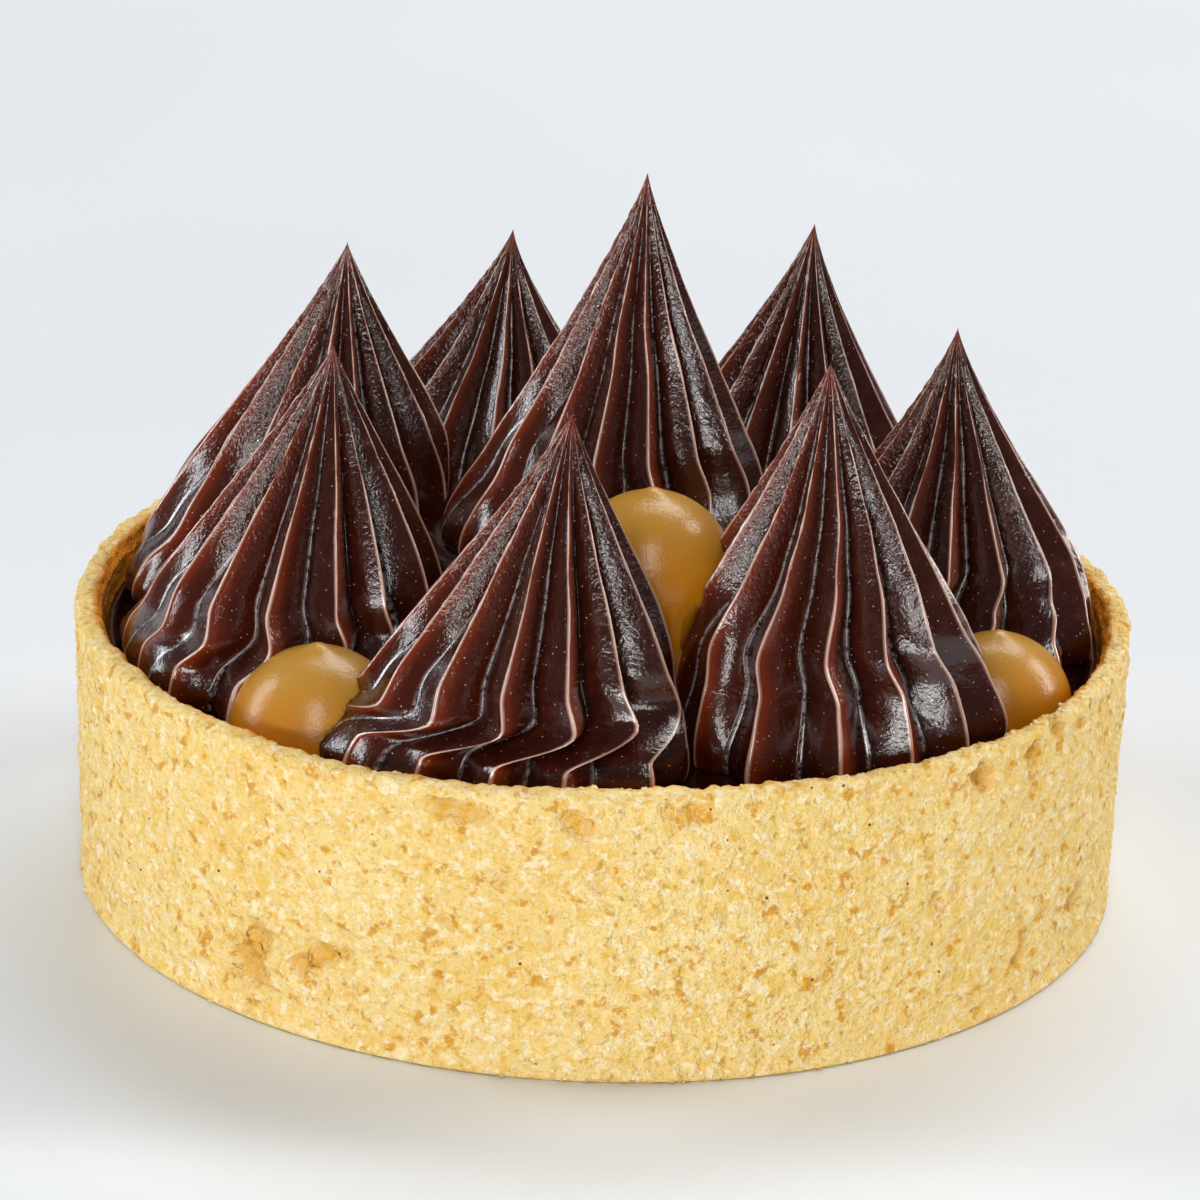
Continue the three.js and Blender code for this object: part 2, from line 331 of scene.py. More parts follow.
class Finish:
    """A material under construction, with its shader and its place in millimetres."""

    def __init__(self, name, **shader_values):
        self.material = bpy.data.materials.new(name)
        self.material.use_nodes = True
        self.tree = self.material.node_tree
        self.tree.nodes.clear()
        output = self.add("ShaderNodeOutputMaterial")
        self.shader = self.add("ShaderNodeBsdfPrincipled")
        for key, value in shader_values.items():
            self.shader.inputs[key.replace("_", " ")].default_value = value
        self.link(self.shader.outputs["BSDF"], output.inputs["Surface"])
        coordinates = self.add("ShaderNodeTexCoord")
        in_mm = self.add("ShaderNodeMapping", Scale=(1000, 1000, 1000))
        self.link(coordinates.outputs["Object"], in_mm.inputs["Vector"])
        self.place = in_mm.outputs["Vector"]

    def add(self, kind, **values):
        return node(self.tree, kind, **values)

    def link(self, source, target):
        self.tree.links.new(source, target)

    def group(self, tree, **values):
        made = self.add("ShaderNodeGroup", node_tree=tree)
        for key, value in values.items():
            made.inputs[key.replace("_", " ")].default_value = value
        self.link(self.place, made.inputs["Place"])
        return made

    def mottle(self, scale, start, end):
        return self.group(MOTTLE, Scale=scale, From=start, To=end).outputs["Mask"]

    def attribute(self, name):
        return self.add("ShaderNodeAttribute", attribute_name=name).outputs["Fac"]

    def set_or_link(self, entry, value):
        if isinstance(value, (int, float, tuple)):
            entry.default_value = value
        else:
            self.link(value, entry)

    def math(self, operation, *values):
        made = self.add("ShaderNodeMath", operation=operation)
        for entry, value in zip(made.inputs, values):
            self.set_or_link(entry, value)
        return made.outputs["Value"]

    def blend(self, mask, under, over):
        """Lays one colour over another by a mask. Each is a colour or a socket."""
        made = self.add("ShaderNodeMix", data_type="RGBA")
        for index, value in ((0, mask), (6, under), (7, over)):
            self.set_or_link(made.inputs[index], value)
        return made.outputs[2]

    def speckle(self, base, scale, start, end, strength, tint):
        """Lays a tint over the colour so far, in specks of one size."""
        mask = self.math("MULTIPLY", self.mottle(scale, start, end), strength)
        return self.blend(mask, base, tint)


def colour(red, green, blue):
    """A colour from 0 to 255, as a screen shows it, in the linear light that nodes use."""
    return tuple(((v / 255) ** 2.2) for v in (red, green, blue)) + (1.0,)


print("groups:", GRAIN.name, MOTTLE.name)

# %% [markdown]
# ## Shortcrust
#
# Baked shortcrust is pale gold, matt and sandy. Its colour changes on three scales: broad paler and
# browner areas from the oven, orange-brown specks a millimetre or less across where butter browned,
# and fine grain. Real light also sinks a little way into it, but on so pale and matt a surface that
# hardly shows and is slow to render, so the paler grains stand in for it. Painting the crust with
# an image would fix it to one side, so noise does it, with the scales chosen by the size of the
# real grains. The pits are painted a deeper amber and the tiny pinholes dark, as painted shade in
# their hollows. The inside of the wall is a deeper amber, and the mask for it comes from an
# attribute on the mesh.


# %% Shortcrust material
# The specks, by noise scale per mm, where the mask starts and ends, strength and colour.
CRUST_SPECKLES = [
    (0.9, 0.48, 0.64, 0.7, colour(241, 196, 92)),
    (1.35, 0.5, 0.66, 0.8, colour(255, 240, 200)),
    (0.95, 0.56, 0.68, 0.85, colour(216, 146, 10)),
    (2.6, 0.52, 0.68, 0.6, colour(234, 178, 62)),
]


def shortcrust_material():
    finish = Finish("baked shortcrust", Roughness=0.8, IOR=1.4)
    base = finish.blend(finish.mottle(0.12, 0.35, 0.65), colour(250, 221, 150), colour(246, 211, 132))
    for speckle in CRUST_SPECKLES:
        base = finish.speckle(base, *speckle)
    # painted shade: the pits are tinted a deeper amber, as if shaded inside
    pit = finish.math("MULTIPLY", finish.attribute("pit"), 0.6)
    base = finish.blend(pit, base, colour(222, 158, 28))
    # the inside of the wall is tinted a deeper amber
    base = finish.blend(finish.attribute("inner_wall_tint"), base, colour(234, 142, 24))
    # painted shade: tiny pinholes are dark dots, with no hollow in the mesh
    holes = finish.add("ShaderNodeTexVoronoi", Scale=0.42)
    finish.link(finish.place, holes.inputs["Vector"])
    pinhole_shade = finish.math("LESS_THAN", holes.outputs["Distance"], 0.045)
    base = finish.blend(pinhole_shade, base, colour(104, 66, 24))
    finish.link(base, finish.shader.inputs["Base Color"])
    grain = finish.group(GRAIN, Scale=5.5, Depth=0.12, Rough_Scale=1.9, Rough_Depth=0.45)
    finish.link(grain.outputs["Normal"], finish.shader.inputs["Normal"])
    return finish.material


SHORTCRUST = shortcrust_material()
print(SHORTCRUST.name)

# %% [markdown]
# ## The case
#
# A tart ring gives the case a straight wall, a small round at the foot and a cut rim. It is a disc
# drawn up the outside, over the rim and down the inside. The outside wall then gets many rings, so
# that crumbs and pits are real relief and not only shading, and the relief is cut inwards, as
# crumbs break off a surface and never add to it. Dough pressed against a ring also traps a few air
# pockets, which show as pits.

# %% Outline and blank of the case
CRUST_INSET = 0.06
FOOT_DRAFT = 0.4
EDGE_ROUND = 1.0
MENISCUS = 1.2
WALL_CUTS = 74
INNER_CUTS = 11
rim = SHELL_HEIGHT


def arc(x, y, radius, start, end, count):
    angles = np.radians(np.linspace(start, end, count + 1))
    return [(x + radius * math.cos(a), y + radius * math.sin(a)) for a in angles]


outer = SHELL_RADIUS - CRUST_INSET
foot = outer - FOOT_DRAFT
shoulder = rim - EDGE_ROUND
below_fill = FILL_LEVEL - MENISCUS
case_outline = [
    *arc(foot - EDGE_ROUND, EDGE_ROUND, EDGE_ROUND, -90, 0, 5),
    *arc(outer - EDGE_ROUND, shoulder, EDGE_ROUND, 0, 90, 5),
    *arc(INNER_RADIUS + EDGE_ROUND, shoulder, EDGE_ROUND, 90, 180, 5),
    (INNER_RADIUS, below_fill),
    (INNER_RADIUS, FLOOR + EDGE_ROUND),
    (INNER_RADIUS - EDGE_ROUND, FLOOR),
]
case = turned_blank("shortcrust_case", case_outline, ROUND_STEPS)
cut_between(case, EDGE_ROUND, shoulder, outer + 0.1, foot - 0.1, WALL_CUTS)
cut_between(case, below_fill, shoulder, INNER_RADIUS + 0.1, INNER_RADIUS - 0.1, INNER_CUTS)
print("points:", len(case.data.vertices))

# %% Waves, crumbs and pits of the case
# The pits that show, by azimuth from the front, height, half width, half height and depth in mm.
SEEN_PITS = [
    (321.5, 4.2, 1.2, 1.3, 0.83),
    (323.0, 6.2, 0.8, 0.7, 0.68),
    (330.9, 6.4, 0.9, 0.6, 0.75),
    (328.4, 5.2, 0.6, 0.5, 0.6),
    (345.9, 18.6, 2.2, 0.5, 0.52),
    (358.0, 18.4, 0.9, 0.8, 0.6),
    (9.6, 19.2, 1.2, 0.5, 0.38),
    (43.2, 18.3, 0.8, 0.9, 1.05),
    (51.9, 18.6, 0.6, 0.7, 0.9),
    (56.1, 19.6, 0.5, 0.8, 0.75),
    (64.3, 5.3, 0.8, 0.8, 0.9),
    (51.9, 3.8, 0.5, 0.6, 0.6),
]
points = points_of(case)
angle = np.arctan2(points[:, 1], points[:, 0])
radius = np.hypot(points[:, 0], points[:, 1])
high = smoothstep(points[:, 2], FILL_LEVEL, SHELL_HEIGHT)
points[:, :2] *= (1 + roundness(angle))[:, None]
points[:, 2] *= 1 + high * rim_swell(angle)


def press_pit(points, azimuth, height, width, tall, depth):
    """Presses one pit into the outside wall and returns how strongly each point is in it."""
    around = (np.degrees(angle) + 90 - azimuth + 180) % 360 - 180
    side = np.radians(around) * SHELL_RADIUS
    rise = points[:, 2] - height
    ragged_side = side + 0.3 * width * np.sin(4.1 * rise + azimuth)
    ragged_rise = rise + 0.3 * tall * np.sin(4.7 * side + 2 * azimuth)
    spread = (ragged_side / width) ** 2 + (ragged_rise / tall) ** 2
    strength = np.exp(-(spread**1.5)) * (radius > SHELL_RADIUS - 1.5)
    points[:, :2] *= (1 - depth * strength / SHELL_RADIUS)[:, None]
    return strength


SMALL_PITS = 220
draw = np.random.default_rng(4)
pits = [press_pit(points, *pit) for pit in SEEN_PITS]
for _ in range(SMALL_PITS):
    size = draw.triangular(0.15, 0.2, 0.6)
    azimuth = draw.uniform(0, 360)
    height = draw.uniform(0.6, 20.2)
    tall = size * draw.uniform(0.6, 1.2)
    pits.append(0.5 * press_pit(points, azimuth, height, size, tall, size * 0.6))
# the pit mask also paints shade into the pits
store(case, "pit", np.clip(sum(pits), 0, 1))
set_points(case, points)
print(len(pits), "pits")

# %% Relief of the case
on_wall = smoothstep(points[:, 2], 0.1, 0.8)
inside = (radius < INNER_RADIUS + 0.5) & (points[:, 2] < rim - 1.4)
weight_group(case, "crumb", np.where(inside, 0.5 * on_wall, on_wall) * (radius > INNER_RADIUS - 0.2))
displace(case, clouds("dough", 7.0, 1), 0.3, group="crumb")
displace(case, clouds("lumps", 1.5, 2, 1.5), 0.42, group="crumb")
displace(case, clouds("crumbs", 0.6, 2, 1.8), 0.34, group="crumb")
# a mask for the deeper amber on the inside of the wall
inner_wall_tint = (1 - smoothstep(radius, INNER_RADIUS + 0.1, INNER_RADIUS + 1.2)) * (points[:, 2] > FLOOR)
store(case, "inner_wall_tint", inner_wall_tint)
finish_piece(case, ["pastry_shell"], SHORTCRUST)

# %% [markdown]
# ## Crumbs that cling to the case
#
# Shortcrust sheds crumbs, and some stay on: most round the foot, where the ring was lifted off, and
# on the rim. The relief of the case can't overhang, so these are small separate lumps. A ray is
# sent at the case for each, and the crumb is set where it lands, half sunk in. They are joined into
# one mesh, which stays under 200,000 triangles.

# %% Crumbs that cling to the case
CRUMB_COUNTS = {"rim": 110, "foot": 120, "wall": 60}
# Where the rays start: above the rim and outside the wall.
ABOVE = 30
OUTSIDE = 60


def crumb_spot(place_on_case):
    """Where a ray sent at the case lands: down on the rim, or inwards at the foot or the wall."""
    azimuth = draw.uniform(0, 2 * math.pi)
    outward = Vector((math.cos(azimuth), math.sin(azimuth), 0))
    if place_on_case == "rim":
        start = outward * draw.uniform(INNER_RADIUS + 0.5, SHELL_RADIUS - 0.9)
        start.z = ABOVE
        return case.ray_cast(start * MM, Vector((0, 0, -1)))[1]
    start = outward * OUTSIDE
    start.z = draw.triangular(0.15, 0.2, 0.7) if place_on_case == "foot" else draw.uniform(1, 20)
    return case.ray_cast(start * MM, -outward)[1]


draw = np.random.default_rng(9)
crumbs = []
for place_on_case, count in CRUMB_COUNTS.items():
    for _ in range(count):
        size = draw.triangular(0.1, 0.14, 0.3) * MM
        spot = crumb_spot(place_on_case)
        spot.z = max(spot.z, size)
        bpy.ops.mesh.primitive_ico_sphere_add(subdivisions=2, radius=size, location=spot)
        crumb = bpy.context.object
        wide, long = draw.uniform(0.75, 1.15), draw.uniform(0.75, 1.15)
        crumb.scale = wide, long, draw.uniform(0.6, 0.95)
        crumbs.append(crumb)
deselect_all()
for crumb in crumbs:
    crumb.select_set(True)
bpy.ops.object.transform_apply(location=True, rotation=True, scale=True)
bpy.ops.object.join()
crumbs = bpy.context.object
crumbs.name = crumbs.data.name = "clinging_crumbs"
displace(crumbs, clouds("crumb_shape", 0.16, 1, 1.5), 0.12, 1.0)
finish_piece(crumbs, [], SHORTCRUST)

# %% [markdown]
# ## Ganache
#
# The filling was poured warm, so it is smooth and dark and creeps up the crust in a thin edge. Only
# slits of it show between the stars, yet from above they are what joins the piece together. It is a
# turned shape too: level, with a meniscus at the wall and the mound under the middle star.


# %% Ganache material and piece
def ganache_material():
    finish = Finish("set ganache", Roughness=0.24, IOR=1.5, Coat_Weight=0.4, Coat_Roughness=0.12)
    tone = finish.mottle(0.4, 0.4, 0.7)
    base = finish.blend(tone, colour(44, 20, 15), colour(58, 27, 19))
    finish.link(base, finish.shader.inputs["Base Color"])
    grain = finish.group(GRAIN, Scale=7.0, Depth=0.012, Rough_Scale=0.7, Rough_Depth=0.12)
    finish.link(grain.outputs["Normal"], finish.shader.inputs["Normal"])
    return finish.material


wet_edge = INNER_RADIUS - 0.12
ganache_outline = [
    (wet_edge - 1.0, FLOOR + 0.3),
    (wet_edge, FLOOR + 1.3),
    (wet_edge, FILL_LEVEL + 0.3),
    *arc(wet_edge, FILL_LEVEL + 1.0, 0.95, 225, 270, 3),
    *[(r, FILL_LEVEL) for r in (32, 29, 26, 23, 20, 17, 15)],
    *arc(MOUND_RADIUS + 0.8, FILL_LEVEL + 0.8, 0.8, 270, 180, 3),
    *arc(MOUND_RADIUS - 1.6, FILL_LEVEL + MOUND_HEIGHT - 1.6, 1.6, 0, 90, 4),
    (6.0, FILL_LEVEL + MOUND_HEIGHT),
]
ganache = turned_blank("ganache_filling", ganache_outline, 192)
points = points_of(ganache)
angle = np.arctan2(points[:, 1], points[:, 0])
reach = smoothstep(np.hypot(points[:, 0], points[:, 1]), MOUND_RADIUS, INNER_RADIUS - 1)
points[:, :2] *= (1 + reach * roundness(angle))[:, None]
set_points(ganache, points)
finish_piece(ganache, ["filling"], ganache_material())

# %% [markdown]
# ## The stars
#
# Each star came out of one nozzle with fourteen teeth, held upright and pulled away. So a star is a
# stack of fourteen-pointed rings that shrink towards the tip, and its ridges run nearly straight
# down from it. Low down the chocolate spread and slipped round, so the ridges sway, and on some
# stars they sweep back almost level at the foot. How far each star's ridges have turned is given at
# six levels. A ring of stars also presses into itself: no star crosses the plane half-way to its
# neighbour, the mound or the wall, and its grooves are squeezed shallower there. Towards the left
# the foot closes into a rounded end.
#
# Fourteen ridges could be modelled once and arrayed, but pressing would then distort the copies, so
# the rings are cut into a cylinder and every point is moved to its place by the same rule. Points
# are crowded at each crest and groove, because a narrow crest with a thin lip is what draws the
# fine bright lines of piped chocolate.


# %% Star sizes
STAR_WORDS = ("azimuth", "out", "radius", "height", "lean", "bend", "full", "turns")
STARS = {
    "star_front": (-14, 23.1, 14.4, 23.7, 3.1, 0.86, 0.26, (21.1, 24.1, 25.7, 25.6, 28.8, 3)),
    "star_front_right": (40.5, 22.4, 14.3, 26, -0.2, 0.96, 0.26, (23.3, 21.5, 18, 13, 17.5, 18)),
    "star_right": (95, 23.5, 14.5, 22.6, 0.4, 0.86, 0.11, (11.2, 15.3, 13.2, 12.8, 6, 0)),
    "star_back_right": (147, 23, 14, 24.5, 1.7, 1.4, 0.15, (10.6, 12, 11.9, 11.9, 12, 6)),
    "star_back_left": (203, 23.2, 16.4, 22.7, 1.6, 1.45, 0.1, (17.9, 16.6, 13.7, 11.5, 11.5, 4)),
    "star_left": (247, 23.4, 16, 25.1, 2.7, 0.48, 0.21, (26, 28.5, 29, 34, 36, 30)),
    "star_front_left": (293, 23, 14.3, 23.4, 2.4, 0.88, 0.27, (2.9, 2.2, 1, 1.2, 5.5, -3)),
    "star_middle": (300, 0.6, 12.8, 26.4, 2.5, 0.45, 0.18, (22.3, 22, 25.2, 25.1, 28.5, 26)),
}
STARS = {name: dict(zip(STAR_WORDS, values)) for name, values in STARS.items()}
TEETH = 14
# The levels, from the tip (0) to the foot (1), at which the turns above are reached, in degrees.
TURN_LEVELS = (0, 0.35, 0.5, 0.68, 0.78, 0.88)
# Where a ring's points stand, from a crest (0) to a groove (1), and how far the thin lip stands out.
PHASES = np.array([0, 0.025, 0.05, 0.08, 0.15, 0.3, 0.5, 0.74, 0.9, 0.96, 1.0])
LIP = 0.009 * np.array([0.75, 0.95, 0.7, 0.2, 0, 0, 0, 0, 0, 0, 0])
POINTS_PER_TOOTH = 2 * (len(PHASES) - 1)
STAR_ROWS = 104
GROOVE_DEPTH = 0.28
HOLLOW_POWER = 1.35
FOOT_TUCK = 0.16
PRESS_SOFTNESS = 9
GAP = 0.1
# The first ring's level, and how uneven the ridges are: in degrees, and as a share of the grooves' depth.
FIRST_RING = 0.012
UNEVEN_TURN = 1.3
UNEVEN_DEPTH = 0.12
TIP_CLEARANCE = 0.02
print("ring of", POINTS_PER_TOOTH * TEETH, "points,", STAR_ROWS, "rows")


# %% How a star is pressed
def place(azimuth, out):
    angle = math.radians(azimuth - 90)
    return np.array([out * math.cos(angle), out * math.sin(angle)])


def on_mound(star):
    return star["out"] < MOUND_RADIUS


def pressing_planes(star):
    """The upright planes that stop a star of the ring, as (normal, distance)."""
    if on_mound(star):
        return []
    here = place(star["azimuth"], star["out"])
    planes = [(-here / np.linalg.norm(here), -(MOUND_RADIUS + GAP))]
    for other in STARS.values():
        if other is star or on_mound(other):
            continue
        away = place(other["azimuth"], other["out"]) - here
        distance = np.linalg.norm(away)
        normal = away / distance
        reach = distance * star["radius"] / (star["radius"] + other["radius"])
        planes.append((normal, here @ normal + reach - GAP / 2))
    return planes


def pressed_radius(star, free, spine, direction):
    """The free radius of each point, eased to stay inside the planes and the wall."""
    wall = MOUND_RADIUS if on_mound(star) else INNER_RADIUS - 0.25 - GAP
    along = (spine * direction).sum(1)
    room = [free, np.sqrt(along**2 + wall**2 - (spine**2).sum(1)) - along]
    for normal, limit in pressing_planes(star):
        facing = direction @ normal
        gap = (limit - spine @ normal) / np.where(facing > 1e-3, facing, 1)
        room.append(np.where(facing > 1e-3, np.maximum(gap, 0.05), 1e3))
    return sum(length**-PRESS_SOFTNESS for length in room) ** (-1 / PRESS_SOFTNESS)


print("planes round the front star:", len(pressing_planes(STARS["star_front"])))


# %% How a star's ridges run
def crest_share(full, level):
    hollow = level**HOLLOW_POWER
    plump = 1 - (1 - level) ** 2
    under = np.clip((level - 0.9) / 0.1, 0, 1)
    tuck = 1 - np.sqrt(1 - under**2)
    return (hollow + full * (plump - hollow)) * (1 - FOOT_TUCK * tuck)


def ridge_turn(star, level):
    """Where the first ridge has turned to, in radians, eased from each level to the next."""
    turns = star["turns"]
    total = turns[0]
    for row in range(1, len(turns)):
        total = total + (turns[row] - turns[row - 1]) * smoothstep(level, *TURN_LEVELS[row - 1 : row + 1])
    return np.radians(total)


def crest_to_groove(phase, level):
    """0 on a crest and 1 in a groove: nearly flat flanks that meet in an edge, and rounder low down."""
    flat = np.abs(phase) ** 1.08
    lobe = 0.5 - 0.5 * np.cos(np.pi * phase)
    return flat + 0.75 * smoothstep(level, 0.72, 0.9) * (lobe - flat)


def groove_share(level, direction):
    """How deep a groove is: it opens below the tip, and closes at the foot, most on the leftward side."""
    opening = 0.5 + 0.5 * smoothstep(level, 0, 0.3)
    leftward = smoothstep(-direction[:, 0], 0.35, 0.85)
    closing = 1 - 0.35 * smoothstep(level, 0.8, 0.95) - 0.8 * leftward * smoothstep(level, 0.5, 0.74)
    return GROOVE_DEPTH * opening * closing


# %% Shape a star from its blank
def shape_star(piece, star, draw):
    """Presses the rings of a blank, whose height is 1 mm and radius 1 mm, into a star."""
    blank = points_of(piece)
    ring = POINTS_PER_TOOTH * TEETH
    step = np.rint(np.arctan2(blank[:, 1], blank[:, 0]) / (2 * np.pi) * ring).astype(int) % ring
    down = 1 - blank[:, 2]
    level = (1 - np.cos(np.pi * (FIRST_RING + (1 - FIRST_RING) * down))) / 2
    tooth, within = np.divmod(step + POINTS_PER_TOOTH // 2, POINTS_PER_TOOTH)
    across = within - POINTS_PER_TOOTH // 2
    phase = np.sign(across) * PHASES[np.abs(across)]
    tooth = tooth % TEETH
    shift = draw.uniform(-UNEVEN_TURN, UNEVEN_TURN, TEETH + 1)
    depth = draw.uniform(1 - UNEVEN_DEPTH, 1 + UNEVEN_DEPTH, TEETH)
    shift[TEETH] = shift[0]
    sway = np.where(np.abs(phase) < 1, shift[tooth] * (1 - phase**2), 0)
    even = (tooth + phase / 2) / TEETH * 2 * np.pi
    angle = even + np.radians(sway) + ridge_turn(star, level)
    direction = np.stack([np.cos(angle), np.sin(angle)], 1)
    spine = np.tile(place(star["azimuth"], star["out"]), (len(blank), 1))
    spine[:, 0] += star["lean"] * (1 - level) ** star["bend"]
    free = star["radius"] * crest_share(star["full"], level)
    crest = pressed_radius(star, free, spine, direction)
    groove = groove_share(level, direction)
    groove = np.where(np.abs(phase) < 1, groove * depth[tooth], groove)
    groove *= 1 - 0.7 * np.clip(2.5 * (1 - crest / free), 0, 1)
    reach = crest * (1 + LIP[np.abs(across)] - groove * crest_to_groove(phase, level))
    bottom = FILL_LEVEL + (MOUND_HEIGHT if on_mound(star) else 0)
    points = np.empty_like(blank)
    points[:, :2] = spine + direction * reach[:, None]
    points[:, 2] = bottom + (star["height"] - TIP_CLEARANCE) * (1 - level)
    set_points(piece, points)
    return level, phase, direction


front_foot_turn = math.degrees(ridge_turn(STARS["star_front"], 1.0))
print("turn of the front star's foot:", round(front_foot_turn))

# %% [markdown]
# ## Piped chocolate
#
# The chocolate is a whipped ganache: dark, glossy, and full of tiny bubbles that sparkle. Where a
# ridge is thin, light passes through it and it glows red-brown, and the flank behind it lies in
# shade, almost black. Scattering inside the material is too faint for that in so dark a colour, and
# slow, so light and shade are painted into the colour along the ridges by attributes of the mesh:
# "shade" is painted shade on the dark flank, "glow" a painted glow in the band just beside a crest
# and at the tip, "edge" a painted highlight on the crest and "valley" a painted highlight in the
# bottom of a groove. On those two lines, and on the bubbles, a clear coat catches the light and a
# paler colour is a painted highlight, because they are finer than the mesh. "crinkle" makes the
# surface rougher high up on the left, where the chocolate tore a little.


# %% Piped chocolate material
def bubble_glint_mask(finish):
    """Small round dots, and the same dots at random strengths, for the gloss and the painted glints of
    bubbles.
    """
    bubbles = finish.add("ShaderNodeTexVoronoi", Scale=2.3)
    finish.link(finish.place, bubbles.inputs["Vector"])
    dots = finish.add("ShaderNodeMapRange", interpolation_type="SMOOTHSTEP")
    for name, value in (("From Min", 0.06), ("From Max", 0.17), ("To Min", 1.0), ("To Max", 0.0)):
        dots.inputs[name].default_value = value
    finish.link(bubbles.outputs["Distance"], dots.inputs["Value"])
    split = finish.add("ShaderNodeSeparateColor")
    finish.link(bubbles.outputs["Color"], split.inputs["Color"])
    chosen = finish.math("LESS_THAN", split.outputs["Red"], 0.75)
    sparkle = finish.math("MULTIPLY", dots.outputs["Result"], chosen)
    return sparkle, finish.math("MULTIPLY", sparkle, split.outputs["Green"])


def chocolate_material():
    finish = Finish("piped chocolate", IOR=1.6, Coat_IOR=2.0, Coat_Roughness=0.22)
    edge, valley = finish.attribute("edge"), finish.attribute("valley")
    bloom = finish.mottle(0.8, 0.42, 0.72)
    half_bloom = finish.math("MULTIPLY", bloom, 0.5)
    base = finish.blend(half_bloom, colour(56, 25, 18), colour(76, 35, 26))
    # painted shade: the flank turned away from the light is darkened almost to black
    base = finish.blend(finish.attribute("shade"), base, colour(18, 8, 7))
    # painted glow: red-brown light through the thin band beside each crest and through the tip
    base = finish.blend(finish.attribute("glow"), base, colour(110, 43, 18))
    # painted highlight: a pale line along each crest
    base = finish.blend(edge, base, colour(198, 154, 134))
    # painted highlight: a broken pale grey line in the bottom of each groove
    groove_highlight_dots = finish.math("MULTIPLY", valley, finish.mottle(2.2, 0.4, 0.55))
    base = finish.blend(groove_highlight_dots, base, colour(150, 138, 138))
    sparkle, pale = bubble_glint_mask(finish)
    # painted highlight: paler dots where the bubbles glint
    base = finish.blend(pale, base, colour(206, 178, 164))
    finish.link(base, finish.shader.inputs["Base Color"])
    rough = finish.math("MULTIPLY_ADD", bloom, 0.08, 0.15)
    finish.link(rough, finish.shader.inputs["Roughness"])
    coat = finish.math("ADD", finish.math("ADD", edge, valley), sparkle)
    coat.node.use_clamp = True
    finish.link(coat, finish.shader.inputs["Coat Weight"])
    grain = finish.group(GRAIN, Scale=3.4, Rough_Scale=1.3, Rough_Depth=0.04)
    depth = finish.math("MULTIPLY_ADD", finish.attribute("crinkle"), 0.09, 0.03)
    finish.link(depth, grain.inputs["Depth"])
    finish.link(grain.outputs["Normal"], finish.shader.inputs["Normal"])
    return finish.material


CHOCOLATE = chocolate_material()
print(CHOCOLATE.name)


# %% Pipe the stars
RIPPLES = clouds("ripples", 0.55, 2, 1.2)
FOLDS = clouds("folds", 3.0, 1)


def star_blank(name):
    """An upright cylinder 1 mm high and 1 mm in radius, cut into rings, with its first point on +X."""
    deselect_all()
    ring = POINTS_PER_TOOTH * TEETH
    bpy.ops.mesh.primitive_cylinder_add(
        vertices=ring, radius=MM, depth=MM, end_fill_type="NGON", location=(0, 0, MM / 2)
    )
    piece = bpy.context.object
    piece.name = piece.data.name = name.replace("star", "piped_star")
    bpy.ops.object.transform_apply(location=True, rotation=True, scale=True)
    points = points_of(piece)
    turned = np.arctan2(points[:, 1], points[:, 0]) - np.arctan2(points[0, 1], points[0, 0])
    points[:, 0], points[:, 1] = np.cos(turned), np.sin(turned)
    set_points(piece, points)
    cut_between(piece, 0, 1, 1.1, 0.9, STAR_ROWS - 1)
    return piece


def paint_ridges(piece, level, phase):
    """Stores the painted light and shade of a ridge: painted shade on its dark flank, a painted glow
    beside the crest and at the tip, and painted highlight lines on the crest and in the groove.
    """
    left = np.maximum(-phase, 0)
    right = np.maximum(phase, 0)
    # painted shade on the dark flank of each ridge
    store(piece, "shade", smoothstep(right, 0.2, 0.6) + smoothstep(left, 0.75, 1.0))
    # painted glow: the band just right of a crest, a little left of it, and the tip
    band = smoothstep(right, 0.0, 0.05) * (1 - smoothstep(right, 0.1, 0.36))
    point = 1 - smoothstep(level, 0.02, 0.1)
    store(piece, "glow", np.clip(band + 0.3 * (left < 0.05) + 0.8 * point, 0, 1))
    # painted highlight line along the crest
    crest_line = 1 - smoothstep(np.abs(phase), 0.03, 0.07)
    store(piece, "edge", crest_line * smoothstep(level, 0.01, 0.06))
    # painted highlight line in the bottom of each groove
    store(piece, "valley", smoothstep(np.abs(phase), 0.93, 1.0))


def pipe_star(name, star, number):
    piece = star_blank(name)
    level, phase, direction = shape_star(piece, star, np.random.default_rng(number))
    shoulder = smoothstep(level, 0.03, 0.12) * (1 - smoothstep(level, 0.35, 0.7))
    leftward = 0.25 + 0.75 * smoothstep(-direction[:, 0], -0.2, 0.7)
    weight_group(piece, "ripples", shoulder * leftward)
    displace(piece, RIPPLES, 0.26, 0.5, "ripples")
    displace(piece, FOLDS, 0.16, 0.5)
    paint_ridges(piece, level, phase)
    store(piece, "crinkle", shoulder * leftward)
    finish_piece(piece, [name], CHOCOLATE)
    return piece


stars = {}
for number, (name, star) in enumerate(STARS.items()):
    stars[name] = pipe_star(name, star, number)

# %% [markdown]
# ## Caramel
#
# The caramel is set but soft: a smooth dome with the small nipple that a nozzle leaves. It is
# glossy and golden where it is thick; its paler top is a painted sheen of the light from above, and
# it presses against whatever is beside it. A turned blank gives the free drop, and cutting it with
# the stars gives the true line where they meet.

# %% Caramel sizes
DROPS = {
    "caramel_front_left": (-42.5, 28, 12, 6.5),
    "caramel_inner_front": (11.5, 15.2, 11.4, 16.2),
    "caramel_right": (67.5, 29.2, 10.4, 5.4),
    "caramel_back_right": (121, 28.4, 11, 5.6),
    "caramel_inner_back": (174, 15.2, 11, 14.6),
    "caramel_back_left": (225, 28, 11.6, 6.2),
}
DOME_SHARE = 1.08
NIPPLE_SHARE = 0.07
NIPPLE_RADIUS = 0.9
FOOT_SHARE = 0.86
print(len(DROPS), "drops")


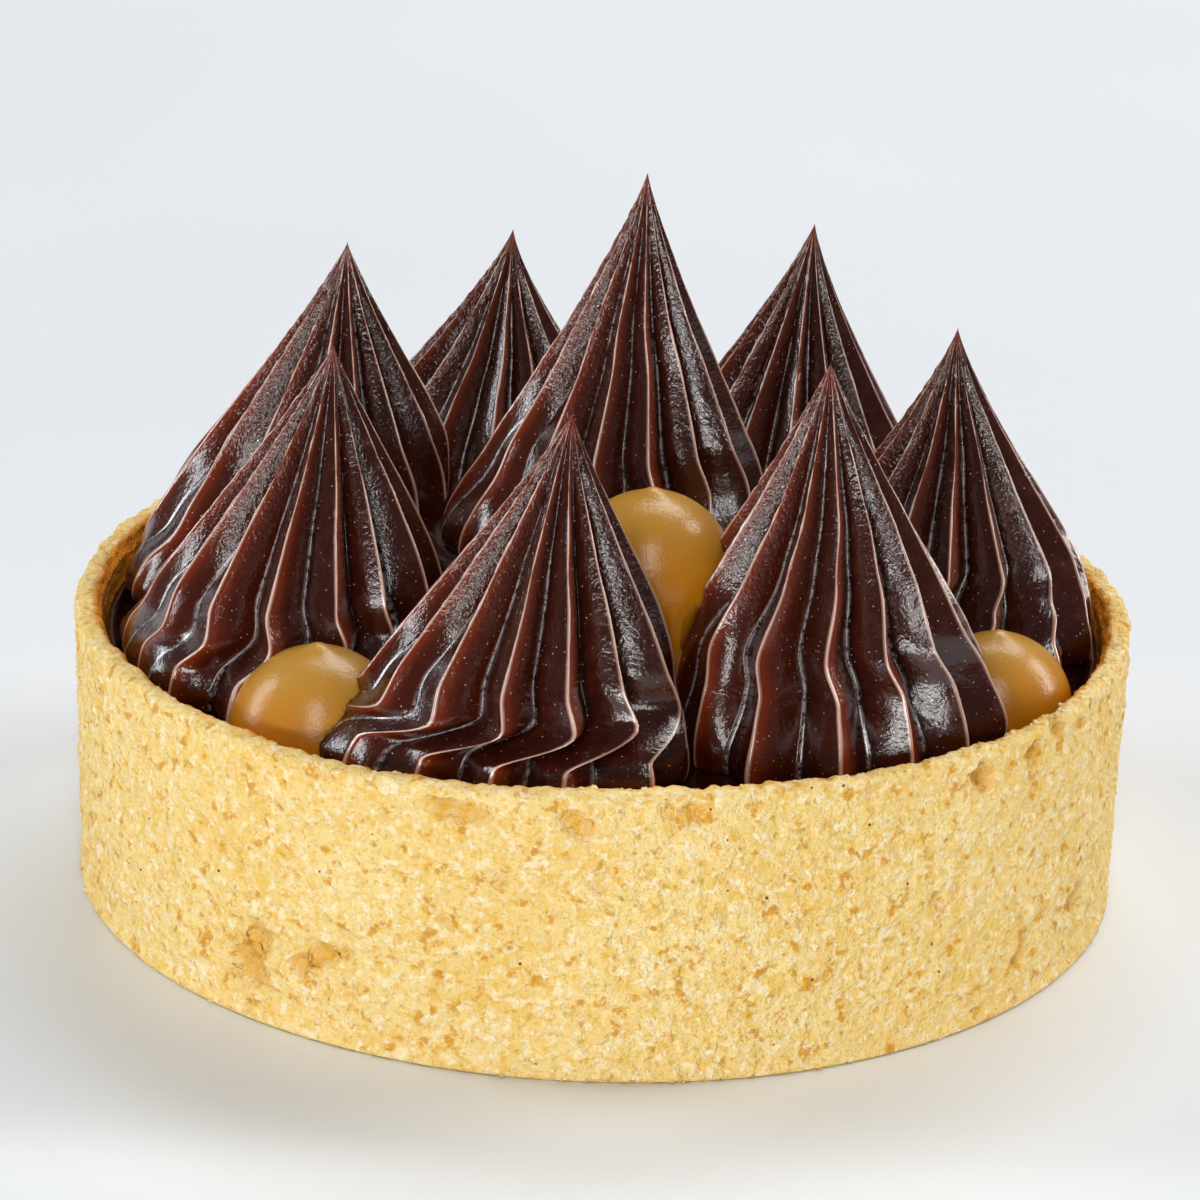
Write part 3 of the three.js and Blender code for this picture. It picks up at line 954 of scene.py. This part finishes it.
# %% Caramel material
def caramel_material():
    finish = Finish(
        "soft caramel", Roughness=0.26, IOR=1.5, Subsurface_Weight=0.5, Subsurface_Scale=0.0022
    )
    finish.shader.inputs["Subsurface Radius"].default_value = (1.0, 0.5, 0.15)
    rise = finish.attribute("rise")
    # painted sheen: the colour turns paler and greyer towards the top of the drop
    base = finish.blend(rise, colour(194, 120, 12), colour(188, 142, 62))
    cloudy = finish.mottle(0.5, 0.4, 0.7)
    base = finish.blend(finish.math("MULTIPLY", cloudy, 0.4), base, colour(190, 134, 36))
    finish.link(base, finish.shader.inputs["Base Color"])
    grain = finish.group(GRAIN, Scale=6.0, Depth=0.02, Rough_Scale=1.6, Rough_Depth=0.03)
    finish.link(grain.outputs["Normal"], finish.shader.inputs["Normal"])
    return finish.material


CARAMEL = caramel_material()
print(CARAMEL.name)


# %% Drop the caramel
def cut_away(piece, cutter):
    make_active(piece)
    modifier = piece.modifiers.new("cut", "BOOLEAN")
    modifier.operation = "DIFFERENCE"
    modifier.solver = "MANIFOLD"
    modifier.object = cutter
    bpy.ops.object.modifier_apply(modifier=modifier.name)


def drop_caramel(name, azimuth, out, width, height):
    radius = width / 2
    dome = min(height, radius * DOME_SHARE)
    body = [
        (max(0.05, radius * math.cos(a)), height - dome + dome * (1 - NIPPLE_SHARE) * math.sin(a))
        for a in np.radians(np.linspace(0, 89, 30))
    ]
    nipple = NIPPLE_SHARE * dome
    body = [(r, z + nipple * math.exp(-((r / NIPPLE_RADIUS) ** 2))) for r, z in body]
    foot_ring = [(radius * FOOT_SHARE, 0)] if height > dome + 0.1 else []
    outline = [(r, z + FILL_LEVEL - 0.1) for r, z in foot_ring + body]
    piece = turned_blank(name.replace("caramel", "caramel_drop"), outline, 96)
    points = points_of(piece)
    points[:, :2] += place(azimuth, out)
    set_points(piece, points)
    for star in stars.values():
        cut_away(piece, star)
    top = FILL_LEVEL + height
    # rise is the share of height that paints the paler sheen on top
    store(piece, "rise", smoothstep(points_of(piece)[:, 2], top - dome, top))
    finish_piece(piece, [name], CARAMEL)


for name, (azimuth, out, width, height) in DROPS.items():
    drop_caramel(name, azimuth, out, width, height)

# %% [markdown]
# ## Studio
#
# The tart stands on a pale table under soft daylight. Glossy ridges show every light as a line, so
# the panels are narrow where a line is wanted: one high on each side, tilted along the slope of the
# stars, a warm one on the right and a cooler one on the left, and one in front, above the camera. A
# wide low panel in front lights the crust evenly without reflecting in the slopes, a panel overhead
# lights the table, and a faint sky fills the rest.


# %% Floor and backdrop
deselect_all()
bpy.ops.mesh.primitive_plane_add(size=6.0, location=(0, 0, 0))
floor = bpy.context.object
floor.name = "table_top"
pale = Finish("pale table", Roughness=0.45)
tone = pale.mottle(0.004, 0.3, 0.7)
tone = pale.blend(tone, colour(225, 229, 235), colour(232, 236, 241))
pale.link(tone, pale.shader.inputs["Base Color"])
floor.data.materials.append(pale.material)
floor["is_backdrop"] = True
print("floor", floor.name)


# %% Lights
def softbox(name, direction, distance, size, power, tint, tilt=0):
    """A panel that faces the origin from a direction, turned by a tilt in its own plane."""
    light = bpy.data.lights.new(name, "AREA")
    light.shape = "RECTANGLE"
    light.size, light.size_y = size
    light.energy = power
    light.color = tint
    lamp = bpy.data.objects.new(name, light)
    bpy.context.scene.collection.objects.link(lamp)
    lamp.location = Vector(direction).normalized() * distance
    lamp.rotation_mode = "QUATERNION"
    level = Vector(direction).to_track_quat("Z", "Y")
    lamp.rotation_quaternion = level @ Quaternion((0, 0, 1), math.radians(tilt))


softbox("window", (0.82, 0.25, 0.5), 1.3, (0.22, 1.0), 9.5, (1.0, 0.975, 0.93), -32)
softbox("overhead", (0.15, 0.6, 0.8), 1.3, (0.8, 0.5), 7.2, (1.0, 0.99, 0.98))
softbox("sky_left", (-0.84, 0.22, 0.44), 1.3, (0.22, 0.9), 7.0, (0.9, 0.95, 1.0), 32)
softbox("front_top", (0.0, -0.74, 0.67), 1.6, (0.3, 1.1), 9.0, (1.0, 0.985, 0.96))
softbox("low_fill", (-0.35, -0.92, 0.04), 1.6, (1.4, 0.3), 18.0, (1.0, 0.99, 0.97))

world = bpy.data.worlds.new("pale sky")
bpy.context.scene.world = world
world.use_nodes = True
sky = world.node_tree.nodes["Background"]
sky.inputs["Color"].default_value = (0.9, 0.94, 1.0, 1.0)
sky.inputs["Strength"].default_value = 0.1
bpy.context.scene.view_settings.view_transform = "Standard"

# %% [markdown]
# ## Camera
#
# The camera looks a little down at the tart from the front, and its roll is very slight. A long
# lens from 40 cm away keeps the near and the far side of the rim almost equally wide, as a close
# product view does. Its height and distance were found from the two ellipses that the rim and the
# foot of a round case draw, which fix both.

# %% Camera
CAMERA_DISTANCE = 400 * MM
CAMERA_RISE = math.radians(20.652)
CAMERA_ROLL = math.radians(1.915)
target = Vector((-0.294, 0, 19.92)) * MM
back = Vector((0, -math.cos(CAMERA_RISE), math.sin(CAMERA_RISE)))
camera_data = bpy.data.cameras.new("camera")
camera_data.lens = 171.3
camera_data.clip_start = 0.01
camera = bpy.data.objects.new("camera", camera_data)
bpy.context.scene.collection.objects.link(camera)
camera.location = target + back * CAMERA_DISTANCE
camera.rotation_mode = "QUATERNION"
look = (-back).to_track_quat("-Z", "Y")
camera.rotation_quaternion = look @ Quaternion((0, 0, 1), CAMERA_ROLL)
bpy.context.scene.camera = camera
print("camera at", [round(v, 4) for v in camera.location])

# %% [markdown]
# ## Measure and finish
#
# The size of everything visible is printed, in millimetres. The visible tart must fit inside the
# solids' box.

# %% Measure and finish
low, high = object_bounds()
print("visual box, mm:", [round(v * 1000, 2) for v in (*low, *high)])
